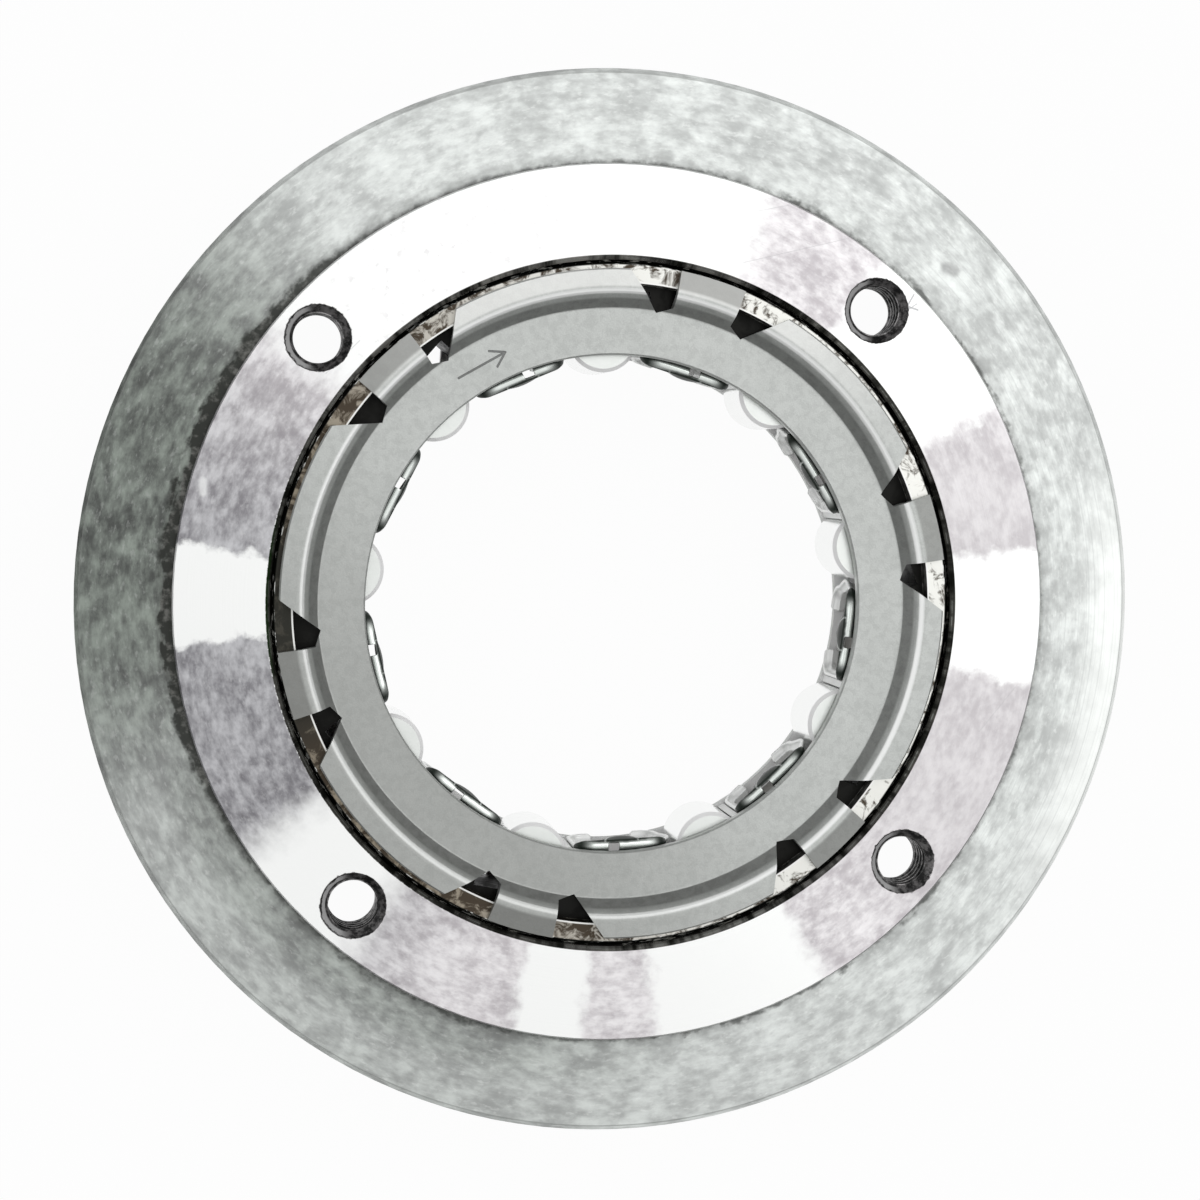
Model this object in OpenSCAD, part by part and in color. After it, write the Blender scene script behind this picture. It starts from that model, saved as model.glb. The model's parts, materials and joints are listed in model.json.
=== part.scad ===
// Roller one-way clutch in a bolt-on flange.
// The axis is Z, the front looks along +Z and the rear end of the hub lies on Z = 0.
// Each roller wedges between its ramp in the cam ring and an inner race that is not part of the unit.
// Seen from the front, the inner race turns freely clockwise and is locked the other way.

/* [Rollers] */
// Diameter of the inner race that the rollers grip
race_d = 45.66; // [44:0.01:47]
// Number of rollers, springs and ramps
roller_count = 9; // [6:1:10]
// Diameter of one roller
roller_d = 7; // [6:0.1:7.4]
// Length of one roller
roller_l = 8.5; // [7:0.1:12]
// Edge break at each end of a roller
roller_edge = 0.35; // [0.1:0.05:0.6]
// Angle of the first roller from +X
roller_angle = 12; // [0:1:39]
// Slope of the ramp that wedges the roller
ramp_angle = 7; // [4:0.5:10]
// Travel of a roller along its ramp, from its stop towards its spring
roller_travel = 1.5; // [0.8:0.1:1.8]
// Travel from the stop to the place where the roller grips the inner race
grip_travel = 0.8; // [0.4:0.1:1]

/* [Springs] */
// Width of the strip, across the circle
spring_w = 2; // [1.4:0.1:2.4]
// Thickness of the strip
strip_t = 0.35; // [0.2:0.05:0.5]
// Outer radius of the bends at the ends of the loop
spring_bend_r = 1.7; // [1:0.1:2.5]
// How far the leg that bears on the roller is bowed out
leg_bow = 0.75; // [0.4:0.05:1.2]
// Width of the gap between the strip's ends at the rear of the loop
loop_opening = 4; // [2:0.1:5]
// Size of the square window in the front of the loop
window_w = 1.1; // [0.6:0.1:1.3]
// Distance from the middle of the loop to the middle of the window
window_shift = 0.8; // [0:0.1:1.5]
// Width of the strip between the window and the side that faces the inner race
window_inset = 0.35; // [0.2:0.05:0.5]
// Length of the tongue on the inner side of the loop
tongue_l = 4.4; // [3:0.1:5]
// Depth of the tongue along the axis
tongue_h = 2.6; // [1:0.1:4]

/* [Cam ring] */
// Outside diameter of the cam ring, pressed into the flange
ring_d = 67.1; // [66:0.1:69]
// Thickness of the nose between the stop of a roller and the next spring, at its tip
nose_t = 0.6; // [0.4:0.05:1.2]
// Edge break at the outside of each face
ring_chamfer = 0.4; // [0.2:0.05:0.6]

/* [Side plates] */
// Sheet thickness
plate_t = 1; // [0.6:0.1:1.2]
// Depth of the dish
dish_depth = 1.6; // [1:0.1:2]
// Diameter of the flat inner annulus
dish_d = 57.9; // [57:0.1:58.2]
// Width of the conical wall between the two annuli, seen from the front
wall_run = 1.5; // [1.2:0.1:1.7]
// Inside radius of the bends in the sheet
bend_r = 0.25; // [0.1:0.05:0.4]
// Edge break at the bore and along the long arcs
plate_edge = 0.15; // [0.05:0.05:0.3]
// How far the tabs stand out past the long arcs
tab_reach = 0.4; // [0.2:0.05:0.5]
// Width of the flat on a tab between the shoulder and the slope
tab_flat = 0.2; // [0.1:0.05:0.5]
// How far the top of a tab falls towards its tip
tab_drop = 0.35; // [0.1:0.05:0.5]
// Number of tabs
tab_count = 6; // [3:1:8]
// Angle of the first tab from +X
tab_angle = 13; // [0:1:59]
// Width of a tab, in degrees
tab_span = 11.5; // [8:0.5:14]
// Width of a notch at the plate's edge, in degrees
notch_span = 8.9; // [5:0.1:10]
// Angle from the side of a tab to the apex of its notch
notch_apex = 3; // [1:0.5:4.5]
// How far the apex of a notch reaches into the inner annulus
notch_reach = 0.2; // [0:0.05:0.6]
// Distance from the inner annulus to the place where the side of a tab starts
tab_root = 0.5; // [0.2:0.1:1]

/* [Flange] */
// Outside diameter of the flange
flange_d = 104; // [98:0.5:120]
// Width of the raised annulus outside the countersinks of the tapped holes
raised_land = 0.925; // [0.3:0.025:3]
// Height of the raised annulus over the rim
raised_step = 0.9; // [0.4:0.1:2]
// Thickness of the flange at the tapped holes
flange_t = 5.5; // [4:0.1:8]
// Edge break at the corners of the flange and the hub
flange_edge = 0.4; // [0.2:0.05:0.8]
// Edge break round the raised annulus
raised_edge = 0.15; // [0.05:0.05:0.3]
// Thickness of the wall of the hub round the cam ring
hub_wall = 2.2; // [1.5:0.1:4]
// Fillet between the hub and the flange
root_r = 1.2; // [0.5:0.1:2]
// Thickness of the lip behind the rear side plate
lip_t = 1.2; // [0.8:0.1:2.5]
// How far that lip reaches in behind the cam ring
lip_w = 1.95; // [1:0.05:3]
// How far the cam ring's front face lies below the raised annulus
ring_drop = 0.8; // [0.4:0.1:1.5]
// Edge break at the mouth of the bore
mouth_chamfer = 0.42; // [0.2:0.02:0.6]

/* [Tapped holes] */
// Number of tapped holes
hole_count = 4; // [3:1:6]
// Width of the metal between the hub and the thread of a hole
hole_land = 0.4; // [0.3:0.1:2]
// Core diameter of the thread
thread_core_d = 5; // [4:0.1:5.2]
// Diameter of the countersink at the front mouth
countersink_d = 6.45; // [5.8:0.05:6.8]
// Diameter of the countersink at the rear mouth
rear_countersink_d = 5.6; // [5.4:0.1:6]
// Angle of the first hole from +X
hole_angle = 48; // [0:1:89]

/* [Fits] */
// Gap between the inner race and the strips of the springs
race_gap = 0.82; // [0.6:0.01:1]
// Gap between the inner race and the bore of the side plates
plate_gap = 1.57; // [1:0.01:2]
// Gap between a roller and the faces that guide it
roller_gap = 0.06; // [0.03:0.01:0.1]
// Gap between a roller's ends and the side plates
end_gap = 0.15; // [0.05:0.05:0.3]
// Gap between a roller at its stop and the leg that bears on it
leg_gap = 0.07; // [0.05:0.01:0.15]
// Gap round a spring
spring_gap = 0.1; // [0.05:0.05:0.2]
// Gap between the dish of a side plate and the floor of its recess
dish_gap = 0.1; // [0.05:0.05:0.2]
// Gap between the dish of a side plate and the wall of its recess
recess_gap = 0.47; // [0.3:0.01:0.6]
// Gap between the tips of the tabs and the bore of the flange
tab_gap = 0.45; // [0.2:0.05:0.8]

/* [Hidden] */
$fn = 96;
// Allowance by which a cut runs past the face that it opens
over = 1;

// Levels along the axis, from the rear end of the hub
track_w = roller_l + 2 * end_gap;
ring_w = track_w + 2 * dish_depth;
ring_rear_z = lip_t + plate_t;
ring_front_z = ring_rear_z + ring_w;
mid_z = (ring_rear_z + ring_front_z) / 2;
raised_z = ring_front_z + ring_drop;
rim_z = raised_z - raised_step;
flange_rear_z = raised_z - flange_t;

// A roller at its stop, and the room between it and the next one on the line across the radius through the
// middle of the spring
pitch = 360 / roller_count;
roller_r = roller_d / 2;
stop_r = roller_r + 2 * roller_gap;
roller_path_r = race_d / 2 + roller_r - grip_travel * sin(ramp_angle);
half_chord = roller_path_r * sin(pitch / 2);

// The loop of a spring, which fills that room
spring_inner_r = race_d / 2 + race_gap;
spring_outer_r = spring_inner_r + spring_w;
spring_h = track_w - 2 * end_gap;
spring_low = stop_r + nose_t + spring_gap - half_chord;
spring_high = half_chord - roller_r - leg_gap - leg_bow;
spring_l = spring_high - spring_low;
spring_mid = (spring_low + spring_high) / 2;

// The bore of the cam ring, half-way across the springs so that its noses stop them
nose_r = spring_inner_r + spring_w / 2;

// Radii of the side plates, inside their outer annulus
bore_r = race_d / 2 + plate_gap;
dish_r = dish_d / 2;
shoulder_r = dish_r + wall_run;
wall_shift = plate_t * tan(atan(dish_depth / wall_run) / 2);

// Radii of the cam ring, which holds the dishes, and of what is laid out from it
recess_r = shoulder_r + wall_shift + recess_gap;
ring_r = ring_d / 2;
tab_r = ring_r - tab_gap;
arc_r = tab_r - tab_reach;
lip_r = ring_r - lip_w;
hub_r = ring_r + hub_wall;
hole_circle_r = hub_r + hole_land + thread_core_d / 2;
raised_r = hole_circle_r + countersink_d / 2 + raised_land;
rim_r = flange_d / 2;

function polar(r, a) = [r * cos(a), r * sin(a)];
function unit(v) = v / norm(v);
function turn_of(a, b, c) = cross(b - a, c - b) > 0 ? 1 : -1;

// Points of an arc of radius r that rounds the corner b between a and c, in the given number of steps.
function corner(a, b, c, r, steps = 4) =
    let(
        to_a = unit(a - b),
        to_c = unit(c - b),
        half = acos(to_a * to_c) / 2,
        centre = b + unit(to_a + to_c) * r / sin(half),
        start = b + to_a * r / tan(half) - centre,
        sweep = turn_of(a, b, c) * (180 - 2 * half)
    )
    [for (i = [0:steps])
        let(t = sweep * i / steps)
        centre + [start.x * cos(t) - start.y * sin(t), start.x * sin(t) + start.y * cos(t)]];

// The flange, as a profile turned round the axis.
module flange_profile() {
    polygon(concat(
        [
            [lip_r, flange_edge],
            [lip_r + flange_edge, 0],
            [hub_r - flange_edge, 0],
            [hub_r, flange_edge]
        ],
        corner([hub_r, 0], [hub_r, flange_rear_z], [rim_r, flange_rear_z], root_r),
        [
            [rim_r - flange_edge, flange_rear_z],
            [rim_r, flange_rear_z + flange_edge],
            [rim_r, rim_z - flange_edge],
            [rim_r - flange_edge, rim_z],
            [raised_r, rim_z],
            [raised_r, raised_z - raised_edge],
            [raised_r - raised_edge, raised_z],
            [ring_r + mouth_chamfer, raised_z],
            [ring_r, raised_z - mouth_chamfer],
            [ring_r, lip_t],
            [lip_r, lip_t]
        ]
    ));
}

// One tapped hole: the core of the thread with a countersink at each mouth.
module tapped_hole() {
    front_depth = (countersink_d - thread_core_d) / 2;
    rear_depth = (rear_countersink_d - thread_core_d) / 2;
    translate([0, 0, flange_rear_z - over]) cylinder(h = flange_t + 2 * over, d = thread_core_d);
    translate([0, 0, raised_z - front_depth])
        cylinder(h = front_depth, d1 = thread_core_d, d2 = countersink_d);
    translate([0, 0, raised_z]) cylinder(h = over, d = countersink_d);
    translate([0, 0, flange_rear_z])
        cylinder(h = rear_depth, d1 = rear_countersink_d, d2 = thread_core_d);
    translate([0, 0, flange_rear_z - over]) cylinder(h = over, d = rear_countersink_d);
}

module outer_flange() {
    color([0.66, 0.68, 0.67])
        difference() {
            rotate_extrude($fn = 180) flange_profile();
            for (i = [0:hole_count - 1])
                rotate([0, 0, hole_angle + i * 360 / hole_count])
                    translate([hole_circle_r, 0, 0]) tapped_hole();
        }
}

// The room of one roller, drawn from the roller's centre. X runs along the ramp towards the spring and
// Y points at the ramp. The round end is the stop that the roller is pushed into.
module roller_room() {
    ramp_y = roller_r + roller_gap;
    far_x = roller_travel + roller_r + 4 * roller_gap;
    intersection() {
        union() {
            circle(r = stop_r);
            translate([0, -roller_d]) square([far_x, roller_d + ramp_y]);
        }
        translate([-roller_d, -roller_d]) square([2 * roller_d + far_x, roller_d + ramp_y]);
    }
}

// The room of one spring, drawn with X along the radius through its middle. It ends at the nose that
// stops the straight leg and runs into the room of the roller that the spring pushes.
module spring_room() {
    translate([0, spring_low - spring_gap])
        square([spring_outer_r + 2 * spring_gap, spring_l + 2 * spring_gap]);
}

// The rooms of all the rollers and springs.
module rooms() {
    for (i = [0:roller_count - 1]) {
        rotate(roller_angle + i * pitch)
            translate([roller_path_r, 0])
                rotate(ramp_angle - 90) roller_room();
        rotate(roller_angle + (i - 0.5) * pitch) spring_room();
    }
}

// Ring of rectangular section, from one level to another.
module band(inner_r, outer_r, z_low, z_high) {
    translate([0, 0, z_low])
        linear_extrude(z_high - z_low)
            difference() {
                circle(r = outer_r, $fn = 180);
                circle(r = inner_r, $fn = 180);
            }
}

// Cutter that breaks the outer edge of the ring's front face.
module ring_edge_cutter() {
    rotate_extrude($fn = 180)
        polygon([
            [ring_r - ring_chamfer, ring_front_z],
            [ring_r + over, ring_front_z - ring_chamfer - over],
            [ring_r + over, ring_front_z + over],
            [ring_r - ring_chamfer, ring_front_z + over]
        ]);
}

module cam_ring() {
    floor_low = ring_rear_z + dish_depth + dish_gap;
    floor_high = ring_front_z - dish_depth - dish_gap;
    color([0.62, 0.58, 0.52])
        difference() {
            union() {
                band(nose_r, ring_r, floor_low, floor_high);
                band(recess_r, ring_r, ring_rear_z, ring_front_z);
            }
            translate([0, 0, ring_rear_z - over]) linear_extrude(ring_w + 2 * over) rooms();
            ring_edge_cutter();
            translate([0, 0, 2 * mid_z]) mirror([0, 0, 1]) ring_edge_cutter();
        }
}

// Section of the side plate with its dish, drawn with the underside of the outer annulus on Y = 0.
module plate_profile() {
    outer_bend_r = bend_r + plate_t;
    inner_top = [bore_r, plate_t - dish_depth];
    dish_top = [dish_r, plate_t - dish_depth];
    shoulder_top = [shoulder_r, plate_t];
    outer_top = [tab_r, plate_t];
    inner_under = [bore_r, -dish_depth];
    dish_under = [dish_r + wall_shift, -dish_depth];
    shoulder_under = [shoulder_r + wall_shift, 0];
    outer_under = [tab_r, 0];
    polygon(concat(
        [inner_top + [0, -plate_edge], inner_top + [plate_edge, 0]],
        corner(inner_top, dish_top, shoulder_top, bend_r),
        corner(dish_top, shoulder_top, outer_top, outer_bend_r),
        [outer_top, outer_under],
        corner(outer_under, shoulder_under, dish_under, bend_r),
        corner(shoulder_under, dish_under, inner_under, outer_bend_r),
        [inner_under]
    ));
}

// One of the two notches beside a tab. The side of the tab runs along a radius, a short slant leads from
// its root to the apex, and a long slant leads from there to the edge of the arc and past it.
module tab_notch(side) {
    tab_half = tab_span / 2;
    apex = polar(dish_r - notch_reach, side * (tab_half + notch_apex));
    lip = polar(arc_r, side * (tab_half + notch_span));
    polygon([
        polar(dish_r + tab_root, side * tab_half),
        apex,
        lip,
        lip + unit(lip - apex) * 2 * over,
        polar(tab_r + over, side * tab_half)
    ]);
}

// Repeats its children at every tab.
module at_tabs() {
    for (i = [0:tab_count - 1])
        rotate([0, 0, tab_angle + i * 360 / tab_count]) children();
}

// Sector about +X, wide enough to hold all of the plate's radius.
module sector(half_angle) {
    steps = 8;
    far_r = 2 * tab_r;
    polygon(concat(
        [[0, 0]],
        [for (s = [0:steps]) polar(far_r, half_angle * (2 * s / steps - 1))]
    ));
}

// Part of a turned cutter that acts on the tabs or, a half pitch further on, on the long arcs.
module turned_cut(half_angle) {
    intersection() {
        rotate_extrude($fn = 180) children();
        translate([0, 0, -dish_depth - 2 * over])
            linear_extrude(dish_depth + plate_t + 4 * over) sector(half_angle);
    }
}

// What is taken off a long arc: all that stands past its radius, and its top edge.
module arc_trim() {
    far_r = tab_r + 2 * over;
    polygon([
        [arc_r, -dish_depth - over],
        [arc_r, plate_t - plate_edge],
        [arc_r - plate_edge - over, plate_t + over],
        [far_r, plate_t + over],
        [far_r, -dish_depth - over]
    ]);
}

// What is taken off a tab: a wedge whose underside falls through the top face, from the flat to the tip.
module tab_slope() {
    start_r = shoulder_r + (bend_r + plate_t) / plate_t * wall_shift + tab_flat;
    fall = tab_drop / (tab_r - start_r);
    polygon([
        [start_r - over, plate_t + fall * over],
        [tab_r + over, plate_t - fall * (tab_r + over - start_r)],
        [tab_r + over, plate_t + over],
        [start_r - over, plate_t + over]
    ]);
}

// A side plate with its outer annulus standing on Z = 0. The cuts for the tabs and those for the arcs both
// end inside a notch, a third of it apart.
module side_plate() {
    tab_cut_angle = tab_span / 2 + notch_span / 3;
    arc_cut_angle = 180 / tab_count - tab_span / 2 - notch_span * 2 / 3;
    color([0.70, 0.71, 0.70])
        difference() {
            rotate_extrude($fn = 180) plate_profile();
            at_tabs() {
                translate([0, 0, -dish_depth - over])
                    linear_extrude(dish_depth + plate_t + 2 * over) {
                        tab_notch(1);
                        tab_notch(-1);
                    }
                turned_cut(tab_cut_angle) tab_slope();
                rotate([0, 0, 180 / tab_count]) turned_cut(arc_cut_angle) arc_trim();
            }
        }
}

module front_side_plate() {
    translate([0, 0, ring_front_z]) side_plate();
}

// The same pressing turned over. Its tabs stay in line with those of the front plate.
module rear_side_plate() {
    translate([0, 0, ring_rear_z]) mirror([0, 0, 1]) side_plate();
}

// One roller of the ring, pushed against its stop.
module roller(i) {
    color([0.86, 0.88, 0.87])
        rotate([0, 0, roller_angle + (i - 1) * pitch])
            translate([roller_path_r, 0, mid_z - roller_l / 2])
                rotate_extrude($fn = 64)
                    polygon([
                        [0, 0],
                        [roller_r - roller_edge, 0],
                        [roller_r, roller_edge],
                        [roller_r, roller_l - roller_edge],
                        [roller_r - roller_edge, roller_l],
                        [0, roller_l]
                    ]);
}

// Rounded rectangle about the origin.
module rounded_rect(w, h, r) {
    square([w - 2 * r, h], center = true);
    square([w, h - 2 * r], center = true);
    for (x = [-1, 1], y = [-1, 1])
        translate([x * (w / 2 - r), y * (h / 2 - r)]) circle(r = r, $fn = 48);
}

// Outline of the loop seen from the axis: X along the circle, Y along the axis. The leg at +X is bowed out
// to bear on the roller and the leg at -X is straight. inset draws the same shape that much smaller.
module loop_shape(inset) {
    bow_half = spring_h / 2 - spring_bend_r;
    bow_r = (bow_half * bow_half + leg_bow * leg_bow) / (2 * leg_bow);
    inside_leg = spring_l / 2 - inset - strip_t / 2;
    rounded_rect(spring_l - 2 * inset, spring_h - 2 * inset, spring_bend_r - inset);
    intersection() {
        translate([spring_l / 2 + leg_bow - bow_r, 0]) circle(r = bow_r - inset);
        translate([inside_leg, -bow_half]) square([leg_bow + strip_t, 2 * bow_half]);
    }
}

// The tongue, a half ellipse drawn as a slice of a round disc that hangs from the front of the loop.
module tongue(front_z) {
    disc_r = (tongue_l * tongue_l / 4 + tongue_h * tongue_h) / (2 * tongue_h);
    translate([spring_inner_r - strip_t, 0, front_z - tongue_h])
        intersection() {
            translate([0, 0, disc_r]) rotate([0, 90, 0]) cylinder(h = strip_t, r = disc_r);
            translate([0, -tongue_l, -over]) cube([strip_t, 2 * tongue_l, tongue_h + over]);
        }
}

// The spring that pushes roller i: a strip bent into a loop that is open at the rear, with a window in its
// front and a tongue that is bent down beside the inner race.
module spring(i) {
    front_z = mid_z + spring_h / 2;
    color([0.33, 0.35, 0.34])
        rotate([0, 0, roller_angle + (i - 1.5) * pitch])
            translate([0, spring_mid, 0]) {
                difference() {
                    translate([spring_inner_r, 0, mid_z])
                        rotate([90, 0, 90])
                            linear_extrude(spring_w)
                                difference() {
                                    loop_shape(0);
                                    loop_shape(strip_t);
                                    translate([-loop_opening / 2, -spring_h])
                                        square([loop_opening, spring_h]);
                                }
                    translate([
                        spring_inner_r + window_inset,
                        -window_shift - window_w / 2,
                        front_z - strip_t - over
                    ])
                        cube([window_w, window_w, strip_t + 2 * over]);
                }
                tongue(front_z);
            }
}

outer_flange();
cam_ring();
front_side_plate();
rear_side_plate();
for (i = [1:roller_count]) {
    roller(i);
    spring(i);
}
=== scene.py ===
"""Looks of a roller one-way clutch in a bolt-on flange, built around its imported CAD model.

The scene is in metres and the values below are in millimetres, unless their comment says otherwise. Seen
from the front, angles run counterclockwise from +X and are in degrees.
"""
import json
import math

import bmesh
import bpy
from mathutils import Matrix, Vector


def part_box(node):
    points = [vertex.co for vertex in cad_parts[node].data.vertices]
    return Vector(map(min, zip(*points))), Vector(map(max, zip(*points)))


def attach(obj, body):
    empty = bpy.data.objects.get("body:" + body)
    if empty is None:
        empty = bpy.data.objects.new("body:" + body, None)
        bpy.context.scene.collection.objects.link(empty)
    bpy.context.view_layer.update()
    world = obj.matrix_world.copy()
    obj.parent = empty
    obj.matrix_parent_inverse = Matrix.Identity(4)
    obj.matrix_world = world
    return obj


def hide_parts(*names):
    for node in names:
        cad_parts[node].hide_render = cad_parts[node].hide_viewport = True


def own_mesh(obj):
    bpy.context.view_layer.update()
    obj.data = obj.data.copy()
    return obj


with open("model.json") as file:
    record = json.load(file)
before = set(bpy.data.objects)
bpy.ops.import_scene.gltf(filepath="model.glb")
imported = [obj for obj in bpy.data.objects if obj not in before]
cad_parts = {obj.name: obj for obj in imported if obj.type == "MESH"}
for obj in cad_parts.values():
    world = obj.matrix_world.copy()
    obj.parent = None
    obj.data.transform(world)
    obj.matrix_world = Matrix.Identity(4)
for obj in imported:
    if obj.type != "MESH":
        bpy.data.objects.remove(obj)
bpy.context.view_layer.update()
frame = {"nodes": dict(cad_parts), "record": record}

MM = 0.001

# Sizes that the record and the CAD nodes give
MOUNTS = {mount["name"]: mount for mount in frame["record"]["mounts"]}
HOLE_CIRCLE_R = MOUNTS["bolts"]["dims"]["pcd_mm"] / 2
HOLE_COUNT = MOUNTS["bolts"]["dims"]["count"]
THREAD_CORE_R = MOUNTS["bolts"]["dims"]["hole_r_mm"]
RACE_R = MOUNTS["inner_race"]["dims"]["r_mm"]
FLANGE_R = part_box("outer_flange")[1].x / MM
RING_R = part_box("cam_ring")[1].x / MM
RAISED_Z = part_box("outer_flange")[1].z / MM
RING_FRONT_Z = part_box("cam_ring")[1].z / MM
ROLLER_LOW_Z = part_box("roller_1")[0].z / MM
ROLLER_HIGH_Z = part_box("roller_1")[1].z / MM
ROLLER_COUNT = len([name for name in frame["nodes"] if name.startswith("roller_")])

# Sizes of the same pieces that only their source names
HOLE_ANGLE = 48
ROLLER_ANGLE = 12
ROLLER_PATH_R = 26.2325
PITCH = 360 / ROLLER_COUNT
RAISED_R = 42.8
RIM_Z = RAISED_Z - 0.9
FLANGE_REAR_Z = RAISED_Z - 5.5
COUNTERSINK_R = 6.45 / 2
FLANGE_EDGE = 0.4
MOUTH_R = RING_R + 0.42
RECESS_R = 31.35
RING_CHAMFER = 0.4
POCKET_R = 28.3
PLATE_BORE_R = 24.4
DISH_R = 28.95
SHOULDER_R = 30.55
TAB_COUNT = 6
TAB_ANGLE = 13
TAB_HALF = 5.75

# The folded strip springs: their length runs round the axis and their height along it
STRIP_W = 2.0
STRIP_T = 0.35
LOOP_L = 9.304
LOOP_H = ROLLER_HIGH_Z - ROLLER_LOW_Z
LOOP_MID_Z = (ROLLER_HIGH_Z + ROLLER_LOW_Z) / 2
LOOP_INNER_R = RACE_R + 0.5
LOOP_OPENING = 4.0
BEND_R = 1.7
LEG_BOW = 0.75
STRIP_CROWN = 0.34
STRIP_EDGE_R = 0.14
CREST_SHIFT = 0.62
LEG_INSET = 0.5
INSET_RUN = 0.9
END_NARROW = 0.25
END_RINGS = 2

# The window in the front of a spring and the tongue that is bent down from it
WINDOW_W = 1.1
WINDOW_SHIFT = 0.8
WINDOW_INSET = 0.2
WINDOW_CORNER_R = 0.3
WINDOW_DEPTH = 1
TONGUE_L = 4.4
TONGUE_H = 2.6
TONGUE_ROOT = 0.25
TONGUE_SEAT = 0.22
TONGUE_BULGE = 0.22
TONGUE_TIP_SHARE = 0.995
TONGUE_BULGE_SHARE = 1.2
TONGUE_THIN_HALF = 0.3

# Steps of the springs' curves
BEND_STEPS = 14
FRONT_STEPS = 40
BOWED_STEPS = 20
PLAIN_STEPS = 12
REAR_STEPS = 6
SECTION_STEPS = 14
EDGE_STEPS = 4
CORNER_STEPS = 6
TONGUE_STEPS = 18
TONGUE_AROUND = 24

# Thread of the tapped holes. A crest's flank is a share of the pitch, and its top is cut flat.
THREAD_PITCH = 1.0
THREAD_CREST = 0.18
THREAD_FLANK = 0.42
THREAD_FLAT = 1.35
THREAD_ROOT_R = THREAD_CORE_R + 0.05
THREAD_SEAT_R = THREAD_CORE_R + 0.3
THREAD_LOW_Z = FLANGE_REAR_Z + 0.35
THREAD_HIGH_Z = RAISED_Z - 0.78
THREAD_STEPS = 64
THREAD_ROWS_PER_TURN = 12

# Generic arrow cut into the front plate. It points the way in which the inner race turns freely.
ARROW_ANGLE = 119
ARROW_R = 26.7
ARROW_L = 5.2
ARROW_HEAD = 1.6
ARROW_SPREAD = 32
ARROW_LINE = 0.13
ARROW_CORE = 0.4 * ARROW_LINE
ARROW_DEPTH = 4

# Directions: the middle of a sector, half its width and its softness
# The first three sectors paint shade on the rim's left and below, and light at its right
LEFT_SHADE_SECTOR = (168, 25, 20)
LOWER_SHADE_SECTOR = (222, 38, 28)
RIGHT_LIGHT_SECTOR = (350, 17, 12)
TURNED_SECTOR = (5, 50, 20)
SHADED_SECTOR = (188, 72, 30)
SMUDGED_SHADE_SECTOR = (192, 34, 24)
GREASY_SECTOR = (352, 34, 12)
FLECKED_SECTOR = (114, 20, 10)
CAKED_SECTOR = (168, 30, 20)
SPECKLED_SECTORS = ((50, 28, 12), (250, 42, 20), (310, 25, 15))
PALE_GROOVE_SECTORS = ((104, 44, 20), (285, 22, 16))
GREEN_SECTOR = (178, 9, 6)
TICKED_SECTOR = (195, 40, 20)
BROWN_SECTOR = (195, 70, 35)
BLACK_SECTOR = (184, 16, 10)
LIT_SECTOR = (88, 42, 20)
PLATE_SHADE_SECTOR = (226, 50, 36)
# Painted highlight: sectors of the ground annulus painted white
HIGHLIGHT_FAN_SECTORS = (
    (-2, 9, 1.2),
    (39, 12, 1.5),
    (101, 32, 2),
    (133, 8, 4),
    (178, 6.5, 0.8),
    (222, 9, 4),
    (260, 5, 1.2),
    (287, 12, 1.5),
)

# Marks on the flange: start and end of a line, half its width, its colour and how much of it shows
SCRATCH = (0.42, 0.42, 0.43)
RUB = (0.92, 0.93, 0.92)
SPOT = (0.30, 0.30, 0.30)
MARK_CORE = 0.25
MARKS = (
    ((28.0, 29.5), (30.0, 28.8), 0.16, SCRATCH, 0.9),
    ((28.6, 28.6), (29.6, 30.3), 0.14, SCRATCH, 0.9),
    ((28.2, 28.3), (29.9, 29.4), 0.10, SCRATCH, 0.8),
    ((12.5, 33.3), (22.8, 35.7), 0.07, SCRATCH, 0.35),
    ((7.2, 37.0), (17.0, 38.9), 0.09, SCRATCH, 0.3),
    ((-28.0, 22.5), (-24.8, 25.6), 0.08, SCRATCH, 0.4),
    ((36.5, -13.0), (40.2, -8.6), 0.08, SCRATCH, 0.3),
    ((-39.7, 12.3), (-39.7, 11.2), 0.55, RUB, 0.55),
    ((33.1, 33.0), (33.9, 32.7), 0.85, SPOT, 0.6),
)

# Clouds: their width, then their detail, roughness and distortion
STAIN_CLOUDS = (4.2, 4, 0.6, 0.35)
FAN_CLOUDS = (2.2, 4, 0.6)
GRIME_CLOUDS = (0.9, 3, 0.6)
RAGGED_CLOUDS = (0.5, 3)
HOLE_MOTTLE_CLOUDS = (0.8, 5, 0.7)
TURNING_LINES = (0.2, 3, 0.6)
RACE_CLOUDS = (1.6, 6, 0.65, 0.8)
PLATE_GRAIN = (0.16, 3, 0.7)
PLATE_CLOUDS = (3.5, 5, 0.6)
PLATE_BLOTCHES = (0.9, 4, 0.65, 0.4)
ROLLER_RINGS = (0.18, 3, 0.6)
ROLLER_HAZE = (1.2, 4, 0.6)
SPRING_HAZE = (0.9, 4, 0.6)

# Noise drawn out round the axis: its width, how many times longer it is, and its detail
DABS = (0.75, 2.6, 5)
LUMPS = (1.5, 3.0, 3)
STROKES = (0.45, 2.4, 3)
FLECKS = (0.9, 1.6, 3)
OIL_LINES = (0.4, 7, 4)
DASHES = (0.25, 2.5, 2)
CHIPS = (0.35, 6, 4)

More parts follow.
